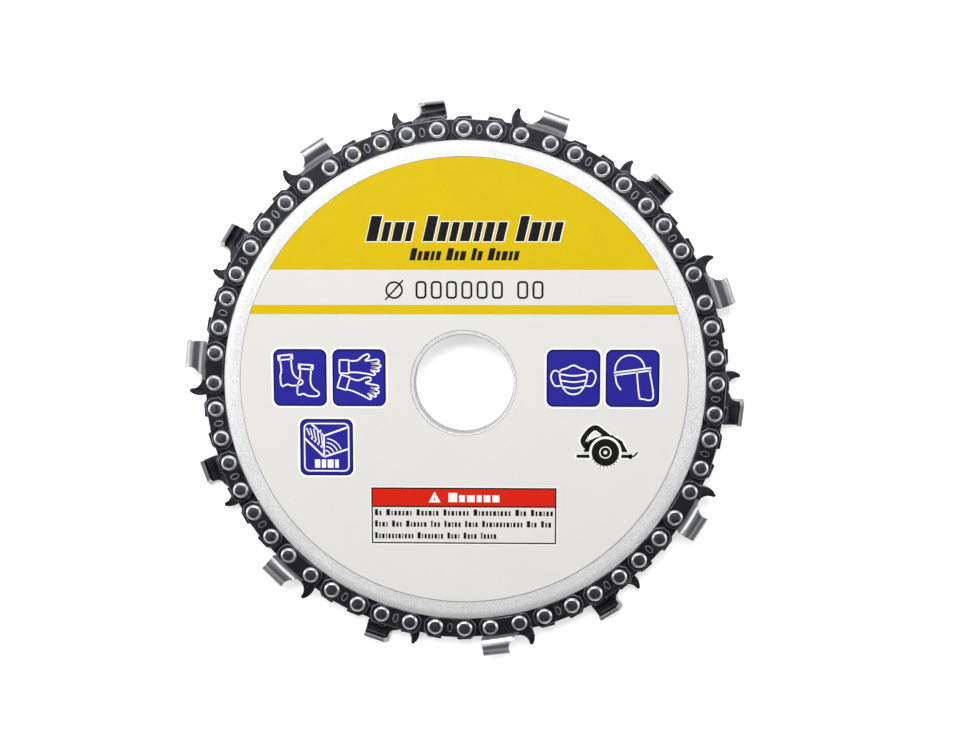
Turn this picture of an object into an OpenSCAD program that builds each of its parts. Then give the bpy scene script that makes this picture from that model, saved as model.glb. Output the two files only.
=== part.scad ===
// Carving disc for an angle grinder: a closed loop of quarter-inch saw chain
// held in the groove between two steel plates, so that it can slip round on them.
// Origin: middle of the bore, on the chain's middle plane. +Z is the labelled face,
// +Y is the top of the label.

/* [Chain] */
// Times the eight-rivet pattern repeats round the disc
repeats = 7; // [6:1:8]
// Distance between the two rivets of a strap or cutter
strap_holes = 6.76; // [6.2:0.02:8.2]
// Distance between the two rivets of a drive link
drive_holes = 5.94; // [5.4:0.02:7.2]
// Thickness of a drive link, the gauge of the chain
drive_t = 1.24; // [1:0.02:1.6]
// Thickness of a tie strap and of a cutter's side plate
strap_t = 1.1; // [0.8:0.05:1.4]
// How far a strap reaches inward of its rivets
strap_drop = 2.2; // [1.9:0.05:2.7]
// How far a strap reaches outward of its rivets
strap_rise = 2.2; // [1.9:0.05:2.7]
// How far a tie strap reaches past its rivets
strap_reach = 2.55; // [2.1:0.05:2.8]
// Side gap between a drive link and the straps
side_gap = 0.04; // [0.02:0.01:0.1]
// How far the tang of a drive link reaches inward of its rivets
tang_depth = 6.4; // [5:0.1:8]

/* [Cutters] */
// Height of the cutting edge over the rivets
cutter_h = 6.9; // [5.5:0.1:8.4]
// Height of the depth gauge over the rivets
gauge_h = 5.5; // [4.8:0.1:6.2]
// Fall of the top plate from its cutting edge to its heel
top_fall = 0.35; // [0:0.05:0.6]
// How far the side plate flares out past the straps
flare = 0.7; // [0.3:0.05:1]
// Radius outside the bend between side plate and top plate
bend_r = 1.2; // [1:0.05:1.4]
// Thickness of the top plate
top_t = 0.9; // [0.7:0.05:1.1]
// How far the top plate reaches past the middle of the chain
top_reach = 0.35; // [0:0.05:1]
// Angle at which the round file crosses the chain
file_angle = 30; // [20:1:35]
// Radius of the round file that shaped the cutting edge
file_r = 2.1; // [1.8:0.05:2.3]

/* [Rivets] */
// Radius of a rivet's shank
rivet_r = 1.25; // [1:0.05:1.5]
// Radius of a rivet's head
head_r = 1.78; // [1.6:0.02:2]
// Height of a rivet's head
head_h = 0.42; // [0.3:0.02:0.6]
// Width of the bevel round a rivet's head
head_bevel = 0.4; // [0.2:0.02:0.5]
// Radial clearance of a drive link on its rivets
rivet_fit = 0.03; // [0.01:0.01:0.1]

/* [Plates] */
// Diameter of the bore
bore_d = 22.23; // [16:0.01:25.4]
// Thickness of the front plate and of the rear plate
plate_t = 2.4; // [2.2:0.1:4]
// Radial clearance between the plates' rims and the straps
rim_gap = 0.15; // [0.08:0.01:0.4]
// Clearance on each side of a tang in the groove
groove_gap = 0.08; // [0.05:0.01:0.2]
// Clearance between the tips of the tangs and the core
tang_gap = 0.6; // [0.3:0.1:2]
// Width of the rolled edge of a plate
roll_w = 2; // [1:0.1:3]
// Depth of the rolled edge of a plate
roll_h = 1.1; // [0.5:0.1:1.5]
// Chamfer at the bore
bore_chamfer = 0.3; // [0.1:0.1:0.6]

/* [Label] */
// Width of the bare rim outside the label
rim_w = 3.9; // [3:0.1:8]
// Width of the bare ring round the bore
label_margin = 0.7; // [0.5:0.1:2]
// Thickness of the label
label_t = 0.12; // [0.08:0.01:0.3]
// How far to the right of the centre the label was stuck on
label_dx = -0.15; // [-0.3:0.05:0.3]
// How far above the centre the label was stuck on
label_dy = 0.3; // [-0.4:0.05:0.4]

/* [Screws] */
// Number of screws that hold the plates together
screws = 6; // [4:1:8]
// Diameter of the circle the screws stand on
screw_circle = 66; // [50:1:80]
// Diameter of a screw
screw_d = 4; // [3:0.5:5]
// Across flats of a screw's hexagon socket
socket_af = 2.5; // [2:0.1:3]
// Depth of the socket
socket_h = 1.3; // [0.8:0.1:1.6]
// Radial clearance of a screw in the plates and in its thread
screw_gap = 0.1; // [0.02:0.01:0.3]

/* [Hidden] */
$fn = 96;
links = 4 * repeats;
step = 360 / links;

// The loop's polygon has both chords as sides: triangle with corner angle 180 - step/2.
ring_r = sqrt(pow(strap_holes, 2) + pow(drive_holes, 2)
    + 2 * strap_holes * drive_holes * cos(step / 2)) / (2 * sin(step / 2));
strap_half = asin(strap_holes / 2 / ring_r);
drive_half = asin(drive_holes / 2 / ring_r);
strap_y = ring_r * cos(strap_half);
drive_y = ring_r * cos(drive_half);

strap_in = drive_t / 2 + side_gap;
strap_out = strap_in + strap_t;
core_t = drive_t + 2 * groove_gap;
face_z = core_t / 2 + plate_t;
plate_r = strap_y - strap_drop - rim_gap;
core_r = drive_y - tang_depth - tang_gap;
bore_r = bore_d / 2;
label_r = plate_r - rim_w;
label_hole_r = bore_r + label_margin;
screw_r = screw_d / 2;
screw_head_r = 1.8 * screw_r;
screw_head_h = screw_head_r - screw_r;
screw_tip_z = face_z - 0.2;

foot_r = 2.6;
foot_a = asin(strap_drop / foot_r);
gauge_c = [0.76, 3.2];
gauge_r = 3.78;
gullet_c = [0.75, 5.2];
gullet_r = 2.35;
file_c = [1.25, cutter_h - 1.45];
heel_x = strap_holes + 2.62;
heel_y = 2.6;
bend_z = strap_out + flare - bend_r;
bend_y = cutter_h - bend_r;
hump_h = 2.95;

fixed_nodes = ["front_plate", "rear_plate", "core_plate", "label", "plate_screws"];
chain_groups = ["front_tie_straps", "rear_tie_straps", "rivets"];

// Points along an arc from angle a to angle b.
function arc(c, r, a, b, n = 10) =
    [for (i = [0:n]) c + r * [cos(a + (b - a) * i / n), sin(a + (b - a) * i / n)]];

// Puts a link's frame on the ring: first rivet at the origin, second along +X, outward +Y.
// Links are counted clockwise from the top, seen from the labelled face.
module at_strap(j) {
    rotate(-(j * step + strap_half)) translate([-strap_holes / 2, strap_y, 0]) children();
}

module at_drive(j) {
    rotate(-(j * step + 2 * strap_half + drive_half))
        translate([-drive_holes / 2, drive_y, 0]) children();
}

module rivet_holes(spacing, r) {
    for (x = [0, spacing])
        translate([x, 0, -5]) cylinder(r = r, h = 10);
}

// ---- Plates ----

// One plate, with its inner face at z = 0 and its rolled edge at the top.
module plate_blank() {
    rotate_extrude($fn = 256)
        polygon(concat(
            [[bore_r, 0], [bore_r, plate_t - bore_chamfer], [bore_r + bore_chamfer, plate_t]],
            [for (a = [0:15:90])
                [plate_r - roll_w + roll_w * sin(a), plate_t - roll_h + roll_h * cos(a)]],
            [[plate_r, 0]]));
}

module at_screws() {
    for (i = [0:screws - 1])
        rotate((i + 0.5) * 360 / screws) translate([screw_circle / 2, 0, 0]) children();
}

module front_plate() {
    color("silver") difference() {
        translate([0, 0, core_t / 2]) plate_blank();
        at_screws() cylinder(r = screw_r + screw_gap, h = face_z + 1);
    }
}

module rear_plate() {
    color("silver") difference() {
        mirror([0, 0, 1]) translate([0, 0, core_t / 2]) plate_blank();
        at_screws() translate([0, 0, -face_z - 1]) cylinder(r = screw_r + screw_gap, h = face_z + 1);
        at_screws() translate([0, 0, -face_z - 0.5])
            cylinder(r1 = screw_head_r + screw_gap + 0.5, r2 = screw_r + screw_gap, h = screw_head_h + 0.5);
    }
}

module core_plate() {
    color("gray") difference() {
        translate([0, 0, -core_t / 2]) cylinder(r = core_r, h = core_t, $fn = 256);
        translate([0, 0, -core_t]) cylinder(r = bore_r, h = 2 * core_t);
        at_screws() translate([0, 0, -core_t]) cylinder(r = screw_r + screw_gap, h = 2 * core_t);
    }
}

module label() {
    color("gold") translate([label_dx, label_dy, face_z]) difference() {
        cylinder(r = label_r, h = label_t, $fn = 256);
        translate([0, 0, -1]) cylinder(r = label_hole_r, h = 2);
    }
}

module plate_screws() {
    color("dimgray") at_screws() difference() {
        union() {
            translate([0, 0, -face_z])
                cylinder(r1 = screw_head_r, r2 = screw_r, h = screw_head_h);
            translate([0, 0, -face_z + screw_head_h / 2])
                cylinder(r = screw_r, h = screw_tip_z + face_z - screw_head_h / 2);
        }
        translate([0, 0, -face_z - 1])
            cylinder(d = socket_af / cos(30), h = socket_h + 1, $fn = 6);
    }
}

// ---- Chain ----

// Stamped outline of a cutter: foot, depth gauge, gullet, body, heel, foot.
function cutter_outline() = concat(
    arc([0, 0], foot_r, 180 + foot_a, 155.5),
    arc(gauge_c, gauge_r, 211, 180 - asin((gauge_h - gauge_c.y) / gauge_r)),
    arc(gullet_c, gullet_r, 180 - asin((gauge_h - 0.12 - gullet_c.y) / gullet_r), 375, 22),
    [[2.5, cutter_h], [heel_x, cutter_h - top_fall], [heel_x, heel_y]],
    arc([strap_holes, 0], foot_r, 40, -foot_a),
    [[strap_holes - 2, 0.3 - strap_drop], [2, 0.3 - strap_drop]]);

// Section across the chain: side plate, bend and top plate, as [z, y] points.
function cutter_section() = concat(
    [[strap_in, -3], [strap_out, -3], [strap_out, 2.6], [strap_out + flare, 4.6]],
    arc([bend_z, bend_y], bend_r, 0, 90, 8),
    [[-top_reach, cutter_h], [-top_reach, cutter_h - top_t]],
    arc([bend_z, bend_y], bend_r - top_t, 90, 0, 4),
    [[strap_out + flare - top_t, 4.8], [strap_in, 3]]);

module cutter() {
    difference() {
        intersection() {
            linear_extrude(8, center = true) polygon(cutter_outline());
            union() {
                translate([-4, -3, strap_in]) cube([6, 12, strap_t]);
                translate([1.9, 0, 0]) rotate([90, 0, 90]) linear_extrude(8)
                    polygon([for (p = cutter_section()) [p.y, p.x]]);
            }
        }
        rivet_holes(strap_holes, rivet_r);
        translate([file_c.x, file_c.y, strap_out + flare]) rotate([0, -file_angle, 0])
            cylinder(r = file_r, h = 12, center = true);
    }
}

module front_cutter(i) {
    color("#3a3a42") at_strap(4 * i - 3) cutter();
}

module rear_cutter(i) {
    color("#3a3a42") at_strap(4 * i - 1) mirror([0, 0, 1]) cutter();
}

module tie_strap() {
    far = strap_holes + strap_reach;
    corner = 1.2;
    translate([0, 0, strap_in]) difference() {
        linear_extrude(strap_t) polygon([
            [-strap_reach, corner - strap_drop], [corner - strap_reach, -strap_drop],
            [far - corner, -strap_drop], [far, corner - strap_drop],
            [far, strap_rise - corner], [far - corner, strap_rise],
            [corner - strap_reach, strap_rise], [-strap_reach, strap_rise - corner]]);
        rivet_holes(strap_holes, rivet_r);
    }
}

module front_tie_straps() {
    color("#2c2c33")
        for (j = [0:links - 1])
            if (j % 4 != 1) at_strap(j) tie_strap();
}

module rear_tie_straps() {
    color("#2c2c33")
        for (j = [0:links - 1])
            if (j % 4 != 3) at_strap(j) mirror([0, 0, 1]) tie_strap();
}

// Drive link: two humps outside the rivets, and a pointed tang that runs in the groove.
module drive_link(i) {
    far = drive_holes;
    mid = far / 2;
    tip_r = 0.9;
    color("#24242a") at_drive(i - 1) difference() {
        translate([0, 0, -drive_t / 2]) linear_extrude(drive_t) polygon(concat(
            [[-2.25, -0.9], [-2.25, 1.1], [-1.75, hump_h], [1.2, hump_h], [2, 2.3],
             [far - 2, 2.3], [far - 1.2, hump_h], [far + 1.75, hump_h],
             [far + 2.25, 1.1], [far + 2.25, -0.9], [far + 0.6, -2.6], [mid + 1.6, 0.9 - tang_depth]],
            arc([mid - 0.4, tip_r - tang_depth], tip_r, -20, -150, 6),
            [[mid - 2.3, 2.6 - tang_depth], [-0.9, -2.6]]));
        rivet_holes(drive_holes, rivet_r + rivet_fit);
    }
}

module rivet() {
    top_z = strap_out + head_h;
    rotate_extrude() polygon([
        [0, -top_z], [head_r - head_bevel, -top_z], [head_r, head_bevel / 2 - top_z],
        [head_r, -strap_out], [rivet_r, -strap_out], [rivet_r, strap_out],
        [head_r, strap_out], [head_r, top_z - head_bevel / 2],
        [head_r - head_bevel, top_z], [0, top_z]]);
}

module rivets() {
    color("#4a4a52")
        for (j = [0:links - 1])
            at_strap(j) for (x = [0, strap_holes]) translate([x, 0, 0]) rivet();
}

front_plate();
rear_plate();
core_plate();
label();
plate_screws();
for (i = [1:repeats]) front_cutter(i);
for (i = [1:repeats]) rear_cutter(i);
for (i = [1:links]) drive_link(i);
front_tie_straps();
rear_tie_straps();
rivets();
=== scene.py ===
import bpy, math
import numpy as np
from mathutils import Matrix, Vector
from mathutils.geometry import delaunay_2d_cdt


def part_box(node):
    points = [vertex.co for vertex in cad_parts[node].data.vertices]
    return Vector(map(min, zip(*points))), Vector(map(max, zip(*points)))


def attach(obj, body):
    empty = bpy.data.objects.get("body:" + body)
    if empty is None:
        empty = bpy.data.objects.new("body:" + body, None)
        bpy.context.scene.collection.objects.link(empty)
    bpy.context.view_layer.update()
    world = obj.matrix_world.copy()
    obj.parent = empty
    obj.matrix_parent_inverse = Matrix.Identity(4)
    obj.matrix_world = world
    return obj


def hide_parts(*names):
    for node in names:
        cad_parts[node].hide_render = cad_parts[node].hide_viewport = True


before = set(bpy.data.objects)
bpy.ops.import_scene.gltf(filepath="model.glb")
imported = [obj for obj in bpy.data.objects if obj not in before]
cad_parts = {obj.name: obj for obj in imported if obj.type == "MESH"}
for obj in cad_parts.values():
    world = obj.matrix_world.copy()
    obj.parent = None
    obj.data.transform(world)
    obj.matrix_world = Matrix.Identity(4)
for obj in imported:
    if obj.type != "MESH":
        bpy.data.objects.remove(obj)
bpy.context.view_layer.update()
mm = 0.001
print("frame loaded,", len(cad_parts), "nodes")


# The chain's layout, worked out as the design does it: two chords in turn round a circle.
ring = dict(links=sum(name.startswith("drive_link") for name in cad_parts),
            strapHoles=6.76, driveHoles=5.94)
ring["step"] = 2 * math.pi / ring["links"]
crossTerm = 2 * ring["strapHoles"] * ring["driveHoles"] * math.cos(ring["step"] / 2)
chords = math.sqrt(ring["strapHoles"] ** 2 + ring["driveHoles"] ** 2 + crossTerm)
ring["radius"] = chords / (2 * math.sin(ring["step"] / 2))
ring["strapHalf"] = math.asin(ring["strapHoles"] / 2 / ring["radius"])
ring["driveHalf"] = math.asin(ring["driveHoles"] / 2 / ring["radius"])
ring["strapY"] = ring["radius"] * math.cos(ring["strapHalf"])
ring["driveY"] = ring["radius"] * math.cos(ring["driveHalf"])


# Highest and lowest corner of a node, in millimetres.
def high(node):
    return np.array(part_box(node)[1]) / mm


def low(node):
    return np.array(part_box(node)[0]) / mm


strapOut = high("front_tie_straps")[2]
strapIn = low("front_tie_straps")[2]
driveHalfT = high("drive_link_1")[2]
plateR = high("front_plate")[0]
faceZ = high("front_plate")[2]
coreHalf = high("core_plate")[2]
labelZ = high("label")[2]
labelMid = (high("label") + low("label"))[:2] / 2
labelR = (high("label") - low("label"))[0] / 2
boreR = 11.115  # the standard grinder bore, with its clearance


# Wire wraps one output socket, so that sums of values read as sums.
class Wire:
    def __init__(self, paint, out):
        self.paint = paint
        self.out = out

    def math(self, how, *others):
        return self.paint.add("ShaderNodeMath", dict(operation=how), self, *others)

    def split(self, axis):
        return self.paint.add("ShaderNodeSeparateXYZ", None, self, out=axis)

    def __add__(self, other):
        return self.math("ADD", other)

    def __radd__(self, other):
        return self.math("ADD", other)

    def __sub__(self, other):
        return self.math("SUBTRACT", other)

    def __rsub__(self, other):
        return self.paint.add("ShaderNodeMath", dict(operation="SUBTRACT"), other, self)

    def __mul__(self, other):
        return self.math("MULTIPLY", other)

    def __rmul__(self, other):
        return self.math("MULTIPLY", other)


# Paint builds one material round a Principled shader.
class Paint:
    def __init__(self, name, **fixed):
        self.material = bpy.data.materials.new(name)
        self.material.use_nodes = True
        self.tree = self.material.node_tree
        self.shader = self.tree.nodes["Principled BSDF"]
        for key, value in fixed.items():
            self.shader.inputs[key.replace("_", " ")].default_value = value

    def feed(self, socket, value):
        if isinstance(value, Wire):
            self.tree.links.new(value.out, socket)
        else:
            socket.default_value = value

    # Any node: its settings first, then the values or links of its sockets, by order or by name.
    def add(self, kind, settings=None, *values, out=0, **named):
        node = self.tree.nodes.new(kind)
        for key, value in (settings or {}).items():
            if key == "stops":
                ramp = node.color_ramp.elements
                while len(ramp) < len(value):
                    ramp.new(0.5)
                for stop, (place, colour) in zip(ramp, value):
                    stop.position = place
                    stop.color = colour
            else:
                setattr(node, key, value)
        for index, value in enumerate(values):
            self.feed(node.inputs[index], value)
        for key, value in named.items():
            self.feed(node.inputs[key.replace("_", " ")], value)
        return Wire(self, node.outputs[out])

    def place(self):
        return self.add("ShaderNodeTexCoord", out=3)

    # Distance from the bore's axis, in metres.
    def away(self):
        flat = self.add("ShaderNodeVectorMath", dict(operation="MULTIPLY"), self.place(), (1, 1, 0))
        return self.add("ShaderNodeVectorMath", dict(operation="LENGTH"), flat, out=1)

    # One on the wall of the bore, nothing a tenth of a millimetre further out.
    def boreWall(self):
        return 1 - self.rise(self.away(), (boreR + 0.05) * mm, (boreR + 0.18) * mm)

    # Place stretched along one or more axes, for drawn or ground lines.
    def stretched(self, scale, turn=0.0):
        return self.add("ShaderNodeMapping", None, Vector=self.place(), Rotation=(0, 0, turn), Scale=scale)

    def noise(self, scale, detail=3.0, rough=0.5, at=None):
        return self.add("ShaderNodeTexNoise", None, Vector=at or self.place(), Scale=scale, Detail=detail,
                        Roughness=rough)

    # Nothing up to the first value, one from the second on.
    def rise(self, value, first, last):
        return self.add("ShaderNodeMapRange", None, value, first, last, 0.0, 1.0)

    def ramp(self, value, stops):
        return self.add("ShaderNodeValToRGB", dict(stops=stops), value)

    def blend(self, share, one, two):
        node = self.tree.nodes.new("ShaderNodeMix")
        node.data_type = "RGBA"
        self.feed(node.inputs[0], share)
        self.feed(node.inputs[6], one)
        self.feed(node.inputs[7], two)
        return Wire(self, node.outputs[2])

    def into(self, **sockets):
        for key, value in sockets.items():
            self.feed(self.shader.inputs[key.replace("_", " ")], value)
        return self.material

    def bump(self, height, strength, depth):
        return self.add("ShaderNodeBump", None, Height=height, Strength=strength, Distance=depth)


def grey(level, warm=0.0):
    return (level + warm, level, level - warm, 1.0)


# Bright plated steel: cloudy spangle, fine grain and faint turning marks; the bore wall painted darker grey
# as shade.
def plateSteel():
    paint = Paint("plateSteel", Metallic=0.6)
    cloud = paint.noise(90, 4)
    grain = paint.noise(5200, 3, 0.7)
    scratch = paint.noise(1.0, 5, 0.6, at=paint.stretched((260, 3200, 400)))
    colour = paint.blend(cloud, grey(0.87), grey(0.97))
    speckle = paint.ramp(paint.noise(3000, 4, 0.8), [(0.43, grey(0)), (0.66, grey(1))])
    colour = paint.blend(speckle * 0.6, colour, grey(0.42, 0.004))
    rough = 0.42 + cloud * 0.1 + grain * 0.14 + scratch * 0.05
    # Painted shade: the bore wall takes a darker grey, standing in for the dim wall inside the bore.
    wall = paint.boreWall()
    colour = paint.blend(wall, colour, paint.blend(paint.noise(900, 4), grey(0.3), grey(0.6)))
    relief = grain + speckle * 0.7 + scratch * 0.4
    return paint.into(Base_Color=colour, Roughness=rough, Normal=paint.bump(relief, 0.45, 0.00009))


# Blued, oiled chain steel: near black with a cold cast, dull mottling and a little rubbed metal.
def bluedSteel(name, level, rub, size=1.0):
    paint = Paint(name, Metallic=0.85)
    mottle = paint.noise(420 / size, 5, 0.62)
    fine = paint.noise(4600, 3, 0.6)
    rubbed = paint.ramp(paint.noise(760 / size, 6, 0.7), [(0.52, grey(0)), (0.66, grey(1))]) * rub
    dark = level * 0.5
    light = level * 1.7
    patches = paint.ramp(mottle, [(0.32, grey(0)), (0.68, grey(1))])
    colour = paint.blend(patches, (dark, dark, dark * 1.15, 1), (light, light, light * 1.15, 1))
    colour = paint.blend(rubbed, colour, grey(0.22))
    rough = 0.3 + mottle * 0.16 + fine * 0.08
    return paint.into(Base_Color=colour, Roughness=rough, Normal=paint.bump(fine + mottle, 0.2, 0.00003))


# Cutter: blued like the links round its rivets, hard chrome from the gullet outward, with painted dark
# reflection bands and streaks on the chrome.
def chromedSteel():
    paint = Paint("chromedSteel", Metallic=0.75)
    cloud = paint.noise(300, 4)
    fine = paint.noise(3600, 4, 0.65)
    away = paint.away()
    across = paint.add("ShaderNodeCombineXYZ", None, away * 1500, cloud * 0.6, paint.place().split(2) * 1500)
    drawn = paint.noise(1.0, 4, 0.65, at=across)
    start = (ring["strapY"] + 2.2) * mm
    plated = paint.rise(away + cloud * 0.0006, start, start + 0.0012)
    chrome = paint.blend(cloud, (0.72, 0.72, 0.735, 1), (0.95, 0.95, 0.97, 1))
    # Dark streaks along the chain: partly drawing marks, partly painted reflection bands of the bent chrome.
    drawnStreaksAndReflections = paint.ramp(drawn, [(0.46, grey(0)), (0.56, grey(1))])
    chrome = paint.blend(drawnStreaksAndReflections * 0.55, chrome, (0.07, 0.07, 0.078, 1))
    # Painted reflection: a dark band across the cutter just above where the plating starts, fading further
    # out, standing in for the dark band the bent flare reflects.
    band = paint.rise(away + cloud * 0.0002, start + 0.0012, start + 0.0016)
    band = band * (1 - paint.rise(away, start + 0.0025, start + 0.003) * 0.7)
    chrome = paint.blend(band * 0.85, chrome, (0.07, 0.07, 0.078, 1))
    dull = paint.blend(paint.noise(420, 5, 0.62), (0.018, 0.018, 0.021, 1), (0.055, 0.055, 0.063, 1))
    rough = 0.22 + cloud * 0.08 + fine * 0.08 + drawn * 0.06
    return paint.into(Base_Color=paint.blend(plated, dull, chrome), Roughness=rough,
                      Normal=paint.bump(fine * 0.3 + drawn * 2.0, 0.3, 0.00006))


# Freshly ground or rubbed edge: pale grey, with fine grinding lines.
def groundSteel(name, level):
    paint = Paint(name, Metallic=0.95)
    lines = paint.noise(1.0, 3, 0.6, at=paint.stretched((900, 900, 9000)))
    patch = paint.noise(900, 3)
    colour = paint.blend(patch, grey(level * 0.75), grey(level))
    rough = 0.26 + lines * 0.2
    return paint.into(Base_Color=colour, Roughness=rough, Normal=paint.bump(lines, 0.25, 0.00003))


# Printed film: ink under a thin varnish, with faint print mottle, dust, and a slow swell and creases; the ink
# darkens with the swell as painted shade.
def inkFilm(name, colour, spread=0.06, rough=0.42):
    paint = Paint(name, Coat_Weight=0.03, Coat_Roughness=0.25, Specular_IOR_Level=0.12)
    mottle = paint.noise(160, 4, 0.6)
    dots = paint.noise(5200, 2, 0.5)
    less = tuple(c * (1 - spread) for c in colour) + (1.0,)
    more = tuple(min(1.0, c * (1 + spread)) for c in colour) + (1.0,)
    tone = paint.blend(mottle * 0.8 + dots * 0.25, less, more)
    speck = paint.ramp(paint.noise(1500, 2, 0.8), [(0.735, grey(0)), (0.76, grey(1))])
    tone = paint.blend(speck * 0.3, tone, (0.2, 0.19, 0.17, 1))
    swellAndShade = paint.noise(34, 3, 0.5)
    # Painted shade: the ink darkens where the film swells, standing in for the shading of its waves.
    tone = paint.blend(paint.ramp(swellAndShade, [(0.35, grey(0)), (0.7, grey(1))]) * 0.22, tone, less)
    crease = paint.noise(1.0, 4, 0.55, at=paint.stretched((30, 190, 30), 0.6))
    relief = swellAndShade * 6 + crease * 1.2 + mottle * 0.3 + dots * 0.12
    return paint.into(Base_Color=tone, Roughness=rough + mottle * 0.1 + dots * 0.06,
                      Normal=paint.bump(relief, 0.12, 0.00012))


finish = dict(
    plate=plateSteel(),
    strap=bluedSteel("strapSteel", 0.027, 0.2),
    drive=bluedSteel("driveSteel", 0.03, 0.3),
    rivetFace=bluedSteel("rivetFace", 0.065, 0.7, 0.3),
    screw=bluedSteel("screwSteel", 0.03, 0.1),
    core=bluedSteel("coreSteel", 0.2, 0.3),
    cutter=chromedSteel(),
    # inner: the cutters' inner faces in a darker blued steel, painted shade for their concave, shaded side.
    inner=bluedSteel("cutterInnerShade", 0.034, 0.2),
    edge=groundSteel("groundEdge", 0.5),
    # rim: rounded edges and oval marks in a lighter blued steel, partly rubbed wear, partly a painted edge
    # highlight.
    rim=bluedSteel("rubbedRimAndHighlight", 0.22, 0.6),
    rivetRing=groundSteel("spunRing", 0.84),
    white=inkFilm("labelWhite", (0.75, 0.74, 0.71), 0.03),
    bright=inkFilm("haloWhite", (0.93, 0.93, 0.92), 0.02),
    yellow=inkFilm("yellowInk", (0.70, 0.50, 0.004), 0.09),
    blue=inkFilm("blueInk", (0.021, 0.019, 0.30), 0.08),
    navy=inkFilm("navyInk", (0.004, 0.003, 0.07), 0.1),
    red=inkFilm("redInk", (0.68, 0.016, 0.006), 0.06),
    black=inkFilm("blackInk", (0.008, 0.008, 0.007), 0.1),
    slate=inkFilm("greyInk", (0.09, 0.09, 0.09), 0.1),
)
print("materials made,", len(finish))


# One object from a part: its points in millimetres, its faces, and a material number for each face.
# A face is a row of four point numbers, the last of them -1 in a triangle.
def makePiece(name, part, materials, body, stands=()):
    points, faces, which = part
    used = faces >= 0
    sizes = used.sum(1)
    mesh = bpy.data.meshes.new(name)
    mesh.vertices.add(len(points))
    mesh.loops.add(int(sizes.sum()))
    mesh.polygons.add(len(faces))
    mesh.vertices.foreach_set("co", (points * mm).astype(np.float32).ravel())
    mesh.polygons.foreach_set("loop_start", (np.cumsum(sizes) - sizes).astype(np.int32))
    mesh.polygons.foreach_set("vertices", faces[used].astype(np.int32))
    mesh.update(calc_edges=True)
    for material in materials:
        mesh.materials.append(material)
    mesh.polygons.foreach_set("use_smooth", np.ones(len(faces), bool))
    mesh.polygons.foreach_set("material_index", which.astype(np.int32))
    mesh.validate()
    mesh.update()
    mesh.set_sharp_from_angle(angle=math.radians(38))
    piece = bpy.data.objects.new(name, mesh)
    bpy.context.scene.collection.objects.link(piece)
    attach(piece, body)
    if stands:
        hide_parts(*stands)
    return piece


# Triangles as rows of four, the last number -1.
def fourWide(triangles):
    return np.column_stack([triangles, np.full(len(triangles), -1)])


# Each face's points in the opposite order; a triangle keeps its -1 last.
def turnedOver(faces):
    back = faces[:, ::-1].copy()
    short = back[:, 0] < 0
    back[short] = np.roll(back[short], -1, 1)
    return back


# Quads over a grid of rows by columns, columns closed into a ring, rows closed too if asked.
def ringFaces(rows, columns, closed=False):
    r = np.arange(rows if closed else rows - 1)[:, None]
    c = np.arange(columns)[None, :]
    down, along = (r + 1) % rows, (c + 1) % columns
    quads = np.stack([r * columns + c, down * columns + c, down * columns + along, r * columns + along], -1)
    return quads.reshape(-1, 4)


# A profile of (radius, height) points turned once about Z: x = r sin a, y = r cos a.
def lathe(profile, turns=192):
    profile = np.asarray(profile, float)
    angle = np.linspace(0, 2 * math.pi, turns, endpoint=False)
    grid = np.stack([profile[:, :1] * np.sin(angle), profile[:, :1] * np.cos(angle),
                     np.repeat(profile[:, 1:], turns, 1)], -1)
    return grid.reshape(-1, 3)


# A lathed part, its profile given from the axis outward at the top and back at the bottom.
def lathed(profile, turns, closed=True):
    faces = ringFaces(len(profile), turns, closed)[:, ::-1]
    return lathe(profile, turns), faces, np.zeros(len(faces), int)


# Circle arc from one angle to another, in degrees: centre + radius (cos a, sin a), in even steps.
def arc(centre, radius, start, end, step=0.16):
    count = max(3, int(abs(math.radians(end - start)) * radius / step) + 1)
    turn = np.radians(np.linspace(start, end, count))
    return np.stack([centre[0] + radius * np.cos(turn), centre[1] + radius * np.sin(turn)], 1)


# Joins arcs and corners into one closed outline, counter-clockwise, with straights cut to short steps.
def outlineOf(*runs, step=0.3):
    points = np.vstack([np.atleast_2d(run) for run in runs])
    ahead = np.roll(points, -1, 0)
    apart = np.linalg.norm(ahead - points, axis=1)
    points, ahead, apart = points[apart > 1e-4], ahead[apart > 1e-4], apart[apart > 1e-4]
    parts = [p + (q - p) * np.linspace(0, 1, int(np.ceil(d / step)), endpoint=False)[:, None]
             for p, q, d in zip(points, ahead, apart)]
    points = np.vstack(parts)
    x, y = points[:, 0], points[:, 1]
    turning = np.sum(x * np.roll(y, -1) - y * np.roll(x, -1))
    return points if turning > 0 else points[::-1]


# Inward direction at each outline point, lengthened at corners as a mitre is.
def inward(points):
    ahead = np.roll(points, -1, 0) - points
    ahead /= np.linalg.norm(ahead, axis=1, keepdims=True)
    left = np.stack([-ahead[:, 1], ahead[:, 0]], 1)
    before = np.roll(left, 1, 0)
    share = 1 + np.sum(left * before, 1, keepdims=True)
    return (left + before) / np.maximum(share, 0.55)


# Whether points lie inside an outline: a ray to the right crosses it an odd number of times.
def inside(points, outline):
    x, y = points[:, :1], points[:, 1:]
    a, b = outline, np.roll(outline, -1, 0)
    spans = (a[:, 1] > y) != (b[:, 1] > y)
    rise = np.where(b[:, 1] == a[:, 1], 1e-9, b[:, 1] - a[:, 1])
    crossing = a[:, 0] + (y - a[:, 1]) * (b[:, 0] - a[:, 0]) / rise
    return (np.sum(spans & (x < crossing), 1) % 2) == 1


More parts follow.
